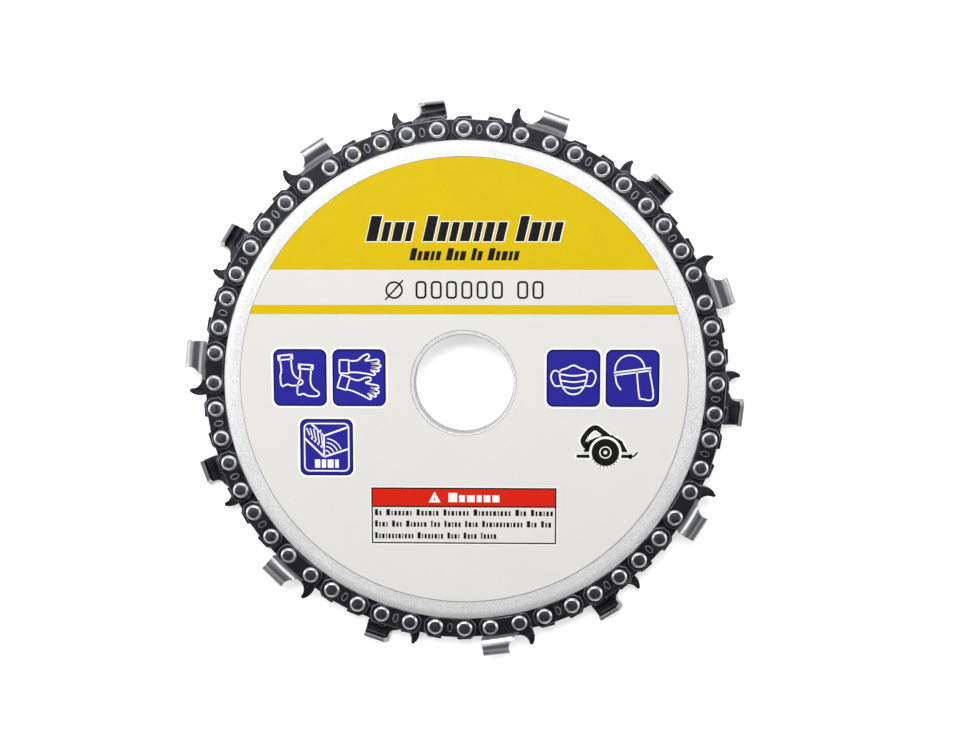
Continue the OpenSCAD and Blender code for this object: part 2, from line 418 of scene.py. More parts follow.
# A stamped plate: the outline is carried down a profile that rounds both edges, then both faces are
# filled with triangles. Returns points, faces and a tag for each face: 0 faces, 1 rounded rim.
def stamp(outline, thick, rounding, fill=None):
    n = len(outline)
    half = thick / 2
    rounding = np.broadcast_to(np.asarray(rounding, float), n)
    turn = np.radians([0, 30, 60, 90])
    inset = np.concatenate([[1.5], 1 - np.sin(turn), (1 - np.sin(turn))[::-1], [1.5]])
    drop = np.concatenate([[0], 1 - np.cos(turn), (1 - np.cos(turn))[::-1], [0]])
    side = np.concatenate([np.ones(5), -np.ones(5)])
    flat = outline[None] + inset[:, None, None] * rounding[None, :, None] * inward(outline)[None]
    height = side[:, None] * (half - drop[:, None] * rounding[None])
    rim = np.concatenate([flat, height[..., None]], -1)
    faces = ringFaces(len(inset), n)
    rimTags = np.ones(len(faces), int)
    rimTags[:n] = 0
    rimTags[-n:] = 0
    corners = flat[0]
    inner = np.zeros((0, 2))
    if fill:
        left, right = corners.min(0), corners.max(0)
        gx, gy = np.meshgrid(np.arange(left[0], right[0], fill), np.arange(left[1], right[1], fill))
        inner = np.stack([gx.ravel(), gy.ravel()], 1)
        inner = inner[inside(inner, corners)]
        gap = np.linalg.norm(inner[:, None] - corners[None], axis=2).min(1)
        inner = inner[gap > fill * 0.6]
    spread = np.vstack([corners, inner])
    made = delaunay_2d_cdt([Vector(p) for p in spread.tolist()], [], [list(range(n))], 1, 1e-7)
    top = np.array([k[0] for k in made[3]])[np.array(made[2])]
    base = len(inset) * n
    upper = np.where(top < n, top, base + top - n)
    lower = np.where(top < n, top + base - n, base + len(inner) + top - n)[:, ::-1]
    one = spread[top[:, 1]] - spread[top[:, 0]]
    two = spread[top[:, 2]] - spread[top[:, 0]]
    leftward = (one[:, 0] * two[:, 1] - one[:, 1] * two[:, 0] > 0)[:, None]
    upper = np.where(leftward, upper, upper[:, ::-1])
    lower = np.where(leftward, lower, lower[:, ::-1])
    caps = [np.column_stack([inner, np.full(len(inner), h)]) for h in (half, -half)]
    points = np.vstack([rim.reshape(-1, 3)] + caps)
    faces = np.vstack([faces, fourWide(upper), fourWide(lower)])
    return points, faces, np.concatenate([rimTags, np.zeros(2 * len(top), int)])


# Several parts as one.
def together(*parts):
    bases = np.cumsum([0] + [len(part[0]) for part in parts])
    points = np.vstack([part[0] for part in parts])
    faces = [np.where(part[1] < 0, -1, part[1] + base) for part, base in zip(parts, bases)]
    return points, np.vstack(faces), np.concatenate([part[2] for part in parts])


# The same part mirrored through the middle plane of the chain.
def flipped(part):
    points, faces, tags = part
    return points * [1, 1, -1], turnedOver(faces), tags


# Carries a link from its own frame (first rivet at zero, second along +X) to its place on the ring.
def onRing(part, index, kind):
    points, faces, tags = part
    if kind == "strap":
        back, out = ring["strapHoles"] / 2, ring["strapY"]
        turn = index * ring["step"] + ring["strapHalf"]
    else:
        back, out = ring["driveHoles"] / 2, ring["driveY"]
        turn = index * ring["step"] + 2 * ring["strapHalf"] + ring["driveHalf"]
    x, y = points[:, 0] - back, points[:, 1] + out
    c, s = math.cos(turn), math.sin(turn)
    return np.stack([x * c + y * s, -x * s + y * c, points[:, 2]], 1), faces, tags


view = dict(distance=300.0, tilt=6.2, swing=-1.43, across=-3.5, up=-1.77, lens=49.6875)


# The camera looks down on the disc, tilted and swung a little, with the disc's centre slightly off its axis.
def setCamera():
    tilt = Matrix.Rotation(math.radians(view["tilt"]), 3, "X")
    swing = Matrix.Rotation(math.radians(view["swing"]), 3, "Y")
    back = (tilt @ swing).transposed()
    data = bpy.data.cameras.new("camera")
    data.sensor_width = 36
    data.lens = view["lens"]
    data.clip_start = 0.01
    camera = bpy.data.objects.new("camera", data)
    offset = Vector((view["across"], view["up"], -view["distance"]))
    camera.matrix_world = Matrix.Translation(-(back @ offset) * mm) @ back.to_4x4()
    bpy.context.scene.collection.objects.link(camera)
    bpy.context.scene.camera = camera


# Pale paper, with a little light of its own so that the ground stays white.
def setFloor():
    size = 3.0
    z = low("rear_plate")[2] * mm - 0.00002
    corners = [(-size, -size, z), (size, -size, z), (size, size, z), (-size, size, z)]
    mesh = bpy.data.meshes.new("floor")
    mesh.from_pydata(corners, [], [(0, 1, 2, 3)])
    paint = Paint("floorPaper", Roughness=0.9, Specular_IOR_Level=0.2)
    tone = paint.noise(6, 3)
    mesh.materials.append(paint.into(Base_Color=paint.blend(tone, grey(0.89), grey(0.92)),
                                     Emission_Color=grey(1.0), Emission_Strength=0.5))
    floor = bpy.data.objects.new("floor", mesh)
    bpy.context.scene.collection.objects.link(floor)


# Soft boxes by name: place and size in metres, power in watts. The sky is bright low down and dim above.
lamps = dict(keyTop=((-0.06, 0.42, 0.6), (0.6, 0.35), 4.8),
             sideLeft=((-0.6, 0.05, 0.35), (0.3, 0.6), 2.0),
             sideRight=((0.6, 0.05, 0.35), (0.3, 0.6), 1.6))
sky = {"From Min": 0.02, "From Max": 0.3, "To Min": 0.85, "To Max": 0.1}


def softbox(name, place, size, power):
    data = bpy.data.lights.new(name, "AREA")
    data.shape = "RECTANGLE"
    data.size, data.size_y = size
    data.energy = power
    lamp = bpy.data.objects.new(name, data)
    lamp.location = place
    lamp.rotation_euler = (-Vector(place)).to_track_quat("-Z", "Y").to_euler()
    bpy.context.scene.collection.objects.link(lamp)


def setLight():
    world = bpy.data.worlds.new("studio")
    world.use_nodes = True
    tree = world.node_tree
    place = tree.nodes.new("ShaderNodeTexCoord")
    parts = tree.nodes.new("ShaderNodeSeparateXYZ")
    haze = tree.nodes.new("ShaderNodeMapRange")
    for key, value in sky.items():
        haze.inputs[key].default_value = value
    back = tree.nodes["Background"]
    back.inputs["Color"].default_value = (0.97, 0.98, 1.0, 1)
    tree.links.new(place.outputs["Generated"], parts.inputs[0])
    tree.links.new(parts.outputs[2], haze.inputs["Value"])
    tree.links.new(haze.outputs[0], back.inputs["Strength"])
    bpy.context.scene.world = world
    for name, (place, size, power) in lamps.items():
        softbox(name, place, size, power)
    bpy.context.scene.view_settings.view_transform = "Standard"


setCamera()
setFloor()
setLight()
print("camera, floor and light set")


plate = dict(rollWide=2.0, rollDeep=1.1, edge=0.25, boreEdge=0.3)


# Plate section: bore wall, rounded bore edge, flat face, rolled edge as a quarter ellipse, rim, inner face.
def plateProfile():
    bore, edge, inner = boreR, plate["boreEdge"], coreHalf
    lip = [(bore + edge - edge * math.cos(a), faceZ - edge + edge * math.sin(a))
           for a in np.radians([0, 25, 50, 70, 90])]
    roll = [(plateR - plate["rollWide"] * (1 - math.sin(a)), faceZ - plate["rollDeep"] * (1 - math.cos(a)))
            for a in np.radians(np.arange(0, 91, 7.5))]
    start = [(bore, inner), (bore, inner + 0.4)]
    flatRun = [(bore + 1, faceZ), (bore + 8, faceZ), (plateR - 12, faceZ),
               (plateR - plate["rollWide"] - 0.3, faceZ)]
    rim = [(plateR, inner + 0.35), (plateR - 0.04, inner + 0.08), (plateR - 0.15, inner)]
    return start + lip + flatRun + roll + rim + [(plateR - 1, inner), (bore + 1, inner)]


makePiece("frontPlate", lathed(plateProfile(), 256), [finish["plate"]], "disc",
          ["front_plate"])

# The rear plate, core and screws are right as they are, and only get their metal.
for node, metal in (("rear_plate", "plate"), ("core_plate", "core"), ("plate_screws", "screw")):
    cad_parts[node].data.materials.clear()
    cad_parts[node].data.materials.append(finish[metal])
print("plates done")


strap = dict(reach=2.55, drop=2.2, rise=2.2, corner=1.2, rounding=0.13, markHigh=0.95, markWide=0.55)


# Raised oval mark: an ellipse carried round as a low half-round ridge.
def ovalMark(midX, z):
    around = np.linspace(0, 2 * math.pi, 28, endpoint=False)
    across = np.radians([0, 45, 90, 135, 180])
    grow = 0.16 * np.cos(across)[:, None]
    lift = 0.12 * np.sin(across)[:, None] - 0.01
    x = midX + (strap["markWide"] + grow) * np.cos(around)
    y = (strap["markHigh"] + grow) * np.sin(around)
    points = np.stack([x, y, np.broadcast_to(z + lift, x.shape)], -1).reshape(-1, 3)
    faces = ringFaces(len(across), len(around))[:, ::-1]
    # Its faces take tag 1, the lighter rim metal, a painted highlight on the ridge.
    return points, faces, np.ones(len(faces), int)


# Tie strap: a bar with its corners cropped, and the mark between its rivets.
def tieStrap():
    s, far = strap, ring["strapHoles"] + strap["reach"]
    outline = outlineOf([[-s["reach"], s["corner"] - s["drop"]], [s["corner"] - s["reach"], -s["drop"]],
                         [far - s["corner"], -s["drop"]], [far, s["corner"] - s["drop"]],
                         [far, s["rise"] - s["corner"]], [far - s["corner"], s["rise"]],
                         [s["corner"] - s["reach"], s["rise"]], [-s["reach"], s["rise"] - s["corner"]]])
    points, faces, tags = stamp(outline, strapOut - strapIn, s["rounding"])
    points[:, 2] += (strapOut + strapIn) / 2
    return together((points, faces, tags), ovalMark(ring["strapHoles"] / 2, strapOut))


oneStrap = tieStrap()
front = together(*[onRing(oneStrap, j, "strap") for j in range(ring["links"]) if j % 4 != 1])
rear = together(*[onRing(flipped(oneStrap), j, "strap") for j in range(ring["links"]) if j % 4 != 3])
# Tag 1, the rounded rims and oval marks, takes the lighter rim metal: rubbed wear and a painted highlight.
strapMetals = [finish["strap"], finish["rim"]]
makePiece("frontTieStraps", front, strapMetals, "chain", ["front_tie_straps"])
makePiece("rearTieStraps", rear, strapMetals, "chain", ["rear_tie_straps"])

drive = dict(hump=2.95, tang=6.4, tipR=0.9, rounding=0.12)


# Drive link: two humps outside its rivets and a hooked tang towards the bore.
def driveLink():
    d, far, mid = drive, ring["driveHoles"], ring["driveHoles"] / 2
    outline = outlineOf([[-2.25, -0.9], [-2.25, 1.1], [-1.75, d["hump"]], [1.2, d["hump"]], [2, 2.3],
                         [far - 2, 2.3], [far - 1.2, d["hump"]], [far + 1.75, d["hump"]],
                         [far + 2.25, 1.1], [far + 2.25, -0.9], [far + 0.6, -2.6],
                         [mid + 1.6, 0.9 - d["tang"]]],
                        arc([mid - 0.4, d["tipR"] - d["tang"]], d["tipR"], -20, -150),
                        [[mid - 2.3, 2.6 - d["tang"]], [-0.9, -2.6]])
    return stamp(outline, 2 * driveHalfT, d["rounding"])


oneDrive = driveLink()
# The drive links' rounded rims take the same lighter rim metal: rubbed wear and a painted highlight.
for j in range(ring["links"]):
    makePiece(f"driveLink_{j + 1}", onRing(oneDrive, j, "drive"), [finish["drive"], finish["rim"]], "chain",
              [f"drive_link_{j + 1}"])
print("straps and drive links done")

cutter = dict(height=6.9, gauge=5.5, fall=0.35, flare=0.7, bend=1.2, plate=0.9, reach=0.35, fileAngle=30.0,
              fileR=2.1, fileAt=(1.25, 5.45), foot=2.6, drop=2.2, gaugeAt=(0.76, 3.2), gaugeR=3.78,
              gulletAt=(0.75, 5.2), gulletR=2.35, heel=9.38, heelY=2.6, rounding=0.12)


# Middle line of the cutter's section: straight side plate, an S out to the flare, a quarter turn,
# and the top plate. Returns length along it, and the place and direction there.
def cutterSpine():
    c = cutter
    sideZ = (strapIn + strapOut) / 2
    flareZ = strapOut + c["flare"] - c["plate"] / 2
    bendZ, bendY = strapOut + c["flare"] - c["bend"], c["height"] - c["bend"]
    bendR = c["bend"] - c["plate"] / 2
    y = np.concatenate([[-4, 0, 2.4], np.linspace(2.6, 4.6, 15), [bendY - 0.2]])
    s = np.clip((y - 2.6) / 2.0, 0, 1)
    z = sideZ + (flareZ - sideZ) * s * s * (3 - 2 * s)
    turn = np.radians(np.linspace(0, 90, 13))
    y = np.concatenate([y, bendY + bendR * np.sin(turn), np.full(6, bendY + bendR)])
    z = np.concatenate([z, bendZ + bendR * np.cos(turn), np.linspace(bendZ - 0.2, -c["reach"] - 0.2, 6)])
    length = np.concatenate([[0], np.cumsum(np.hypot(np.diff(y), np.diff(z)))]) - 4.0
    return length, y, z


spineS, spineY, spineZ = cutterSpine()


# Place and direction on the middle line at a length s.
def spineAt(s):
    e = 0.02
    y, z = np.interp(s, spineS, spineY), np.interp(s, spineS, spineZ)
    ty = np.interp(s + e, spineS, spineY) - np.interp(s - e, spineS, spineY)
    tz = np.interp(s + e, spineS, spineZ) - np.interp(s - e, spineS, spineZ)
    size = np.hypot(ty, tz) + 1e-9
    return y, z, ty / size, tz / size


# Where the round file leaves the metal: a cylinder slanted across the chain.
def fileX(y, z):
    c = cutter
    rise = np.clip(c["fileR"] ** 2 - (y - c["fileAt"][1]) ** 2, 0.04, None)
    slant = math.tan(math.radians(c["fileAngle"]))
    return c["fileAt"][0] + np.sqrt(rise) + (strapOut + c["flare"] - z) * slant


# Eased step: 3v^2 - 2v^3 between nought and one.
def smooth(value):
    value = np.clip(value, 0, 1)
    return value * value * (3 - 2 * value)


# Front edge of the flat pattern: the gullet's arc at first, the file's surface further up.
def leadX(s):
    c = cutter
    y, z = spineAt(s)[:2]
    dip = np.clip(c["gulletR"] ** 2 - (s - c["gulletAt"][1]) ** 2, 0, None)
    share = smooth((s - 3.4) / 1.4)
    return (1 - share) * (c["gulletAt"][0] + np.sqrt(dip)) + share * fileX(y, z)


# The cutter is stamped flat, x along the chain and y along its section, then bent over its spine,
# and its front is slid along x to the file's surface. Tags: 0 chrome, 1 depth gauge, 2 ground edge,
# 3 inner side (painted dark as shade), 4 rubbed rim (lightened, partly a painted edge highlight).
def cutterPart():
    c, far = cutter, ring["strapHoles"]
    foot = math.degrees(math.asin(c["drop"] / c["foot"]))
    tipTurn = 180 - math.degrees(math.asin((c["gauge"] - c["gaugeAt"][1]) / c["gaugeR"]))
    endS = np.interp(c["reach"], -spineZ[-8:], spineS[-8:])
    hornTurn = 180 - math.degrees(math.asin((c["gauge"] - 0.12 - c["gulletAt"][1]) / c["gulletR"]))
    leadS = np.linspace(3.4, endS, 46)
    lead = np.stack([leadX(leadS), leadS], 1)
    outline = outlineOf(arc([0, 0], c["foot"], 180 + foot, 155.5),
                        arc(c["gaugeAt"], c["gaugeR"], 211, tipTurn),
                        arc(c["gulletAt"], c["gulletR"], hornTurn, 308), lead,
                        [[c["heel"], endS], [c["heel"], c["heelY"]]], arc([far, 0], c["foot"], 40, -foot),
                        [[far - 2, 0.3 - c["drop"]], [2, 0.3 - c["drop"]]])
    isLead = np.abs(outline[:, 0] - leadX(outline[:, 1])) < 0.06
    isLead &= (outline[:, 1] > 3.5) & (outline[:, 0] > 1.5)
    tip = np.array([c["gaugeAt"][0] + c["gaugeR"] * math.cos(math.radians(tipTurn)), c["gauge"]])
    toTip = np.linalg.norm(outline - tip, axis=1)
    rounding = np.minimum(np.where(isLead, 0.025, c["rounding"]), 0.012 + 0.06 * toTip)
    points, faces, tags = stamp(outline, 1.0, rounding, fill=0.4)
    x, s, n = points.T
    y, z, ty, tz = spineAt(s)
    body = x > 1.2
    side = (strapIn + strapOut) / 2
    y, z = np.where(body, y, s), np.where(body, z, side)
    ty, tz = np.where(body, ty, 1.0), np.where(body, tz, 0.0)
    strapT = strapOut - strapIn
    thick = np.where(body, strapT + (c["plate"] - strapT) * smooth((s - 2.6) / 2), strapT)
    bentY, bentZ = y - n * thick * tz, z + n * thick * ty
    near = 1 - smooth((x - fileX(y, z)) / 1.3)
    toFile = near * smooth((s - 3.3) / 0.6) * (fileX(bentY, bentZ) - fileX(y, z))
    slide = np.where((s > 3.3) & body, toFile, 0)
    sink = c["fall"] * np.clip((x - 2.5) / (c["heel"] - 2.5), 0, 1) * smooth((y - 3.5) / 2.5)
    bent = np.stack([x + slide, bentY - sink, bentZ], 1)
    count = len(outline)
    quads = np.arange(9 * count)
    ahead = (quads % count + 1) % count
    atTip = toTip < 0.8
    ground = (isLead[quads % count] & isLead[ahead]) | (atTip[quads % count] & atTip[ahead])
    ground &= (quads >= count) & (quads < 8 * count)
    tags[quads[ground]] = 2
    isRim = tags == 1
    held = (faces >= 0)[:, :, None]
    middles = (bent[faces] * held).sum(1) / held.sum(1)
    horn = (middles[:, 0] < 0.6) & (middles[:, 1] > 1.5)
    tags = np.where(tags == 2, 2, np.where(horn, 1, 0))
    # The low rims take the lighter rim metal: rubbed wear and a painted edge highlight.
    tags[isRim & (middles[:, 1] < 3.2)] = 4
    # The inner row and the lower cap take the dark inner metal: painted shade.
    tags[8 * count:9 * count] = 3
    caps = np.arange(9 * count, len(faces))
    tags[caps[len(caps) // 2:]] = 3
    return bent, faces, tags


oneCutter = cutterPart()
cutterMetals = [finish[name] for name in ("cutter", "strap", "edge", "inner", "rim")]
for i in range(ring["links"] // 4):
    for side, index, part in (("front", 4 * i + 1, oneCutter), ("rear", 4 * i + 3, flipped(oneCutter))):
        makePiece(f"{side}Cutter_{i + 1}", onRing(part, index, "strap"), cutterMetals, "chain",
                  [f"{side}_cutter_{i + 1}"])
print("cutters done")

rivet = dict(head=1.78, high=0.42, dome=1.16, shank=1.25)


# Rivet section: low dome, a fine groove, the bright bevel, a short wall and the shank.
def rivetPart():
    r, top = rivet, strapOut + rivet["high"]
    ledge = r["dome"] + 0.08
    cap = [(0.001, top), (0.45, top - 0.018), (0.9, top - 0.06),
           (r["dome"], top - 0.12), (r["dome"] + 0.05, top - 0.135),
           (ledge, top - 0.06), (ledge + 0.08, top - 0.03), (ledge + 0.18, top - 0.06),
           (ledge + 0.32, top - 0.16), (ledge + 0.44, top - 0.28), (r["head"], top - 0.38),
           (r["head"], strapOut), (r["shank"], strapOut)]
    profile = cap + [(x, -z) for x, z in cap[::-1]]
    points, faces, _ = lathed(profile, 32, closed=False)
    tags = np.zeros((len(profile) - 1, 32), int)
    tags[5:10] = 1
    tags[-10:-5] = 1
    return points, faces, tags.ravel()


def shifted(part, x):
    return part[0] + [x, 0, 0], part[1], part[2]


oneRivet = rivetPart()
places = [(j, x) for j in range(ring["links"]) for x in (0, ring["strapHoles"])]
allRivets = together(*[onRing(shifted(oneRivet, x), j, "strap") for j, x in places])
makePiece("chainRivets", allRivets, [finish["rivetFace"], finish["rivetRing"]], "chain",
          ["rivets"])
print("rivets done")


# The film lies on the front face. Its print is drawn as separate thin inks, each a little higher, and
# the print sits a little above the film's own middle.
film = dict(holeR=11.815, inkStep=0.0033, inkT=0.003, printUp=0.4)
filmTop = labelZ - 0.02
printMid = labelMid + [0, film["printUp"]]
inks = {}


def lay(colour, part):
    inks.setdefault(colour, []).append(part)


# Flat patch: a fan from the middle to the outline, above and below, with a thin edge between.
def patch(colour, outline, level):
    outline = np.asarray(outline, float)
    n = len(outline)
    top = filmTop + film["inkStep"] * level
    bottom = top - film["inkT"]
    fan = np.vstack([outline, outline.mean(0)])
    ends = [np.column_stack([fan, np.full(n + 1, z)]) for z in (top, bottom)]
    a = np.arange(n)
    b = (a + 1) % n
    up = fourWide(np.stack([a, b, np.full(n, n)], 1))
    down = fourWide(np.stack([b + n + 1, a + n + 1, np.full(n, 2 * n + 1)], 1))
    edge = np.stack([a, a + n + 1, b + n + 1, b], 1)
    faces = np.vstack([up, down, edge])
    x, y = outline.T
    if np.sum(x * np.roll(y, -1) - y * np.roll(x, -1)) < 0:
        faces = turnedOver(faces)
    lay(colour, (np.vstack(ends) + [printMid[0], printMid[1], 0], faces, np.zeros(len(faces), int)))


# Ink line: a strip carried along a path, its width measured square to the path.
def stroke(colour, path, wide, level, closed=False):
    path = np.asarray(path, float)
    if closed:
        ahead = np.roll(path, -1, 0) - np.roll(path, 1, 0)
    else:
        ahead = np.gradient(path, axis=0)
    ahead /= np.linalg.norm(ahead, axis=1, keepdims=True) + 1e-9
    left = np.stack([-ahead[:, 1], ahead[:, 0]], 1) * wide / 2
    top = filmTop + film["inkStep"] * level
    bottom = top - film["inkT"]
    rails = [(path + left, top), (path + left, bottom), (path - left, bottom), (path - left, top)]
    points = np.stack([np.column_stack([xy, np.full(len(xy), z)]) for xy, z in rails], 1).reshape(-1, 3)
    faces = ringFaces(len(path), 4, closed)
    if not closed:
        last = 4 * (len(path) - 1)
        faces = np.vstack([faces, [[0, 1, 2, 3], [last + 3, last + 2, last + 1, last]]])
    lay(colour, (points + [printMid[0], printMid[1], 0], faces, np.zeros(len(faces), int)))


# Smooth curve through the given points, four cubic pieces' worth of steps between each pair.
def curve(points, closed=False, steps=6):
    p = np.asarray(points, float)
    if closed:
        p = np.vstack([p[-1:], p, p[:2]])
    else:
        p = np.vstack([2 * p[0] - p[1], p, 2 * p[-1] - p[-2]])
    a, b, c, d = p[:-3, None], p[1:-2, None], p[2:-1, None], p[3:, None]
    t = np.linspace(0, 1, steps, endpoint=False)[None, :, None]
    bend = 2 * a - 5 * b + 4 * c - d
    twist = 3 * b - a - 3 * c + d
    run = 0.5 * (2 * b + (c - a) * t + bend * t ** 2 + twist * t ** 3)
    run = run.reshape(-1, 2)
    return run if closed else np.vstack([run, p[-2]])


# Box with quarter-circle corners, counter-clockwise from the lower right.
def roundedBox(left, right, bottom, top, radius):
    corners = [((right - radius, bottom + radius), -90), ((right - radius, top - radius), 0),
               ((left + radius, top - radius), 90), ((left + radius, bottom + radius), 180)]
    return np.vstack([arc(at, radius, start, start + 90, 0.2) for at, start in corners])


# Part of the label's disc between two heights of the print.
def band(bottom, top):
    edge = labelR - 0.03
    up = printMid[1] - labelMid[1]
    start = math.degrees(math.asin((bottom + up) / edge))
    end = math.degrees(math.asin(min(top + up, edge) / edge))
    right = arc((0, -up), edge, start, end, 0.7)
    return np.vstack([right, (right * [-1, 1])[::-1]])


# Bars that stand in for words: one leaning bar for each letter, the first of a word taller.
def wordBars(words, left, right, base, height, lean, gap, grow=0.0, pace=(1.0, 0.82, 1.12, 0.7, 0.95),
             capital=1.25):
    widths, starts, x, k = [], [], 0.0, 0
    for count in words:
        for letter in range(count):
            wide = pace[k % len(pace)] * (capital if letter == 0 else 1.0)
            starts.append((x, wide, letter == 0))
            x += wide + gap
            k += 1
        x += gap * 2.2
    scale = (right - left - lean) / (x - gap * 3.2)
    shapes = []
    for at, wide, first in starts:
        tall = height if first or capital == 1 else height * 0.76
        a, b = left + at * scale - grow, left + (at + wide) * scale + grow
        foot, head = base - grow, base + tall + grow
        tilt = lean * (head - foot) / height
        shapes.append([(a, foot), (b, foot), (b + tilt, head), (a + tilt, head)])
    return shapes


bottomZ = low("label")[2]
filmProfile = [(film["holeR"], bottomZ), (film["holeR"], filmTop), (film["holeR"] + 6, filmTop),
               (labelR - 0.4, filmTop), (labelR - 0.04, filmTop), (labelR, filmTop - 0.03), (labelR, bottomZ)]
filmPoints, filmFaces, filmTags = lathed(filmProfile, 256)
filmPart = (filmPoints + [labelMid[0], labelMid[1], 0], filmFaces, filmTags)
makePiece("labelFilm", filmPart, [finish["white"]], "disc", ["label"])

bands = dict(cap=24.9, lineHigh=17.1, lineLow=15.0)
patch("yellow", band(bands["cap"], 99), 1)
patch("yellow", band(bands["lineLow"], bands["lineHigh"]), 1)

title = dict(words=(4, 7, 4), left=-21.6, right=22.6, base=31.2, height=5.6, lean=1.3, gap=0.42)
for shape in wordBars(**title, grow=0.2):
    patch("bright", shape, 2)
for shape in wordBars(**title):
    patch("black", shape, 3)
subtitle = dict(words=(5, 3, 2, 5), left=-12.0, right=12.7, base=27.0, height=2.7, lean=0.6, gap=0.4)
for shape in wordBars(**subtitle):
    patch("black", shape, 3)

# Size line: a round mark with a slash, then thin bars.
sizeLine = dict(mid=(-15.4, 20.4), radius=1.75, left=-10.6, right=17.8, base=18.5, height=3.9)
stroke("black", arc(sizeLine["mid"], sizeLine["radius"], 0, 350, 0.2), 0.42, 3, closed=True)
stroke("black", np.array([(-17.4, 18.2), (-13.4, 22.6)]), 0.36, 4)
for shape in wordBars((6, 2), sizeLine["left"], sizeLine["right"], sizeLine["base"], sizeLine["height"], 0.0,
                      0.42, pace=(1.0,), capital=1):
    a, b = np.min(shape, 0), np.max(shape, 0)
    stroke("black", roundedBox(a[0] + 0.2, b[0] - 0.2, a[1] + 0.2, b[1] - 0.2, 0.6), 0.46, 3, closed=True)


# Blue sign: white halo, dark rim, blue field.
def sign(left, bottom, wide=12.0, tall=12.9):
    right = left + wide
    top = bottom + tall
    patch("bright", roundedBox(left - 0.45, right + 0.45, bottom - 0.45, top + 0.45, 2.0), 1)
    patch("navy", roundedBox(left, right, bottom, top, 1.6), 2)
    patch("blue", roundedBox(left + 0.35, right - 0.35, bottom + 0.35, top - 0.35, 1.3), 3)
    return np.array([left + wide / 2, bottom + tall / 2])


# A shape leaned by an angle, counter-clockwise.
def leaned(points, lean):
    turn = np.array([[math.cos(lean), -math.sin(lean)], [math.sin(lean), math.cos(lean)]])
    return points @ turn.T


line = 0.34  # width of the signs' white lines

bootsAt = sign(-42.7, -5.7)
boot = np.array([(-1.6, 4.2), (-1.5, 1.0), (-1.9, -0.4), (-1.8, -2.6), (-0.5, -2.4), (0.6, -2.8), (2.6, -2.7),
                 (2.9, -1.9), (1.6, -1.0), (0.9, 0.6), (1.0, 4.2)])
cuff = np.array([(-1.9, 4.2), (1.3, 4.2), (1.3, 3.2), (-1.9, 3.2), (-1.9, 4.2)])
for shift, lean in (((-2.6, 0.9), 0.10), ((1.4, -1.3), -0.06)):
    stroke("bright", curve(leaned(boot, lean)) + shift + bootsAt, line, 4)
    stroke("bright", outlineOf(leaned(cuff, lean)) + shift + bootsAt, line, 4, closed=True)

glovesAt = sign(-29.4, -5.7)
glove = np.array([(-2.5, 1.3), (-0.6, 1.4), (0.7, 2.4), (1.8, 2.8), (2.1, 2.2), (1.2, 1.4), (2.2, 1.4),
                  (3.9, 1.6), (4.3, 1.1), (3.6, 0.8), (2.6, 0.7), (4.4, 0.5), (4.6, 0.0), (3.9, -0.2),
                  (2.6, 0.0), (4.1, -0.5), (4.2, -1.0), (3.5, -1.0), (2.4, -0.8), (3.4, -1.5), (3.1, -1.9),
                  (1.6, -1.6), (-0.6, -1.3), (-2.5, -1.3)])
gloveCuff = np.array([(-4.6, 1.5), (-2.5, 1.5), (-2.5, -1.5), (-4.6, -1.5)])
for shift, lean in (((0.2, 2.5), 0.0), ((-0.1, -2.1), -0.3)):
    stroke("bright", curve(leaned(glove, lean)) + shift + glovesAt, line, 4)
    stroke("bright", outlineOf(leaned(gloveCuff, lean)) + shift + glovesAt, line, 4, closed=True)

maskAt = sign(18.6, -5.7)
mask = np.array([(-3.0, 1.5), (-1.4, 2.3), (0, 2.9), (1.4, 2.3), (3.0, 1.5), (2.7, -1.2), (1.5, -3.1),
                 (0, -3.6), (-1.5, -3.1), (-2.7, -1.2)])
stroke("bright", curve(mask, closed=True) + maskAt, line, 4, closed=True)
for y, half in ((0.9, 2.9), (-0.5, 2.75), (-1.9, 2.2)):
    stroke("bright", curve([(-half, y), (0, y - 0.35), (half, y)]) + maskAt, line, 4)
for side in (-1, 1):
    stroke("bright", curve([(2.9 * side, 1.3), (4.3 * side, 1.7), (5.0 * side, 0.3), (4.2 * side, -1.6),
                            (2.5 * side, -1.7)]) + maskAt, line, 4)

visorAt = sign(31.8, -5.7)
visor = dict(band=[[(-4.2, 1.3), (4.1, 2.4)], [(-4.1, 0.7), (4.1, 1.8)]], dome=((-0.6, 1.9), 3.3),
             shield=[(0.9, 1.6), (1.5, -3.9), (2.2, -4.6), (4.6, -4.3), (3.7, 2.0)])
for run in visor["band"]:
    stroke("bright", np.array(run) + visorAt, line, 4)
stroke("bright", arc(visor["dome"][0], visor["dome"][1], 8, 184, 0.3) + visorAt, line, 4)
stroke("bright", curve(visor["shield"]) + visorAt, line, 4)
stroke("bright", curve([(-3.9, 0.8), (-3.5, -1.2), (-2.6, -2.6)]) + visorAt, line, 4)

# Timber end: three edges meeting at a corner, growth rings on the end and grain down the side.
woodAt = sign(-36.9, -21.5)
stroke("bright", roundedBox(-5.0, 5.0, -5.4, 5.4, 1.1) + woodAt, 0.32, 4, closed=True)
wood = dict(edges=[[(-0.6, 2.6), (-0.6, -2.2)], [(-4.9, 2.0), (-0.6, -2.2)], [(-0.6, -2.2), (4.9, -0.4)],
                   [(-0.6, 2.6), (4.9, 4.6)], [(-0.6, 2.6), (-3.4, 5.3)]], rings=(1.2, 2.1, 3.0, 3.9))
for edge in wood["edges"]:
    stroke("bright", np.array(edge) + woodAt, 0.42, 4)
for radius in wood["rings"]:
    stroke("bright", arc((-0.4, -1.9), radius, 22, 82, 0.3) + woodAt, 0.26, 4)
for k in range(5):
    start = np.array([-4.5 + 0.8 * k, 4.4 - 0.1 * k])
    end = np.array([-3.8 + 0.72 * k, 2.7 - 0.62 * k])
    stroke("bright", np.array([start, end]) + woodAt, 0.26, 4)
    stroke("bright", np.array([end + (0.25, -0.45), end + (0.6, -1.0)]) + woodAt, 0.26, 4)
for shape in wordBars((1, 1, 1, 1), -2.7, 2.7, -4.7, 1.9, 0.0, 0.12):
    patch("bright", np.array(shape) + woodAt, 4)

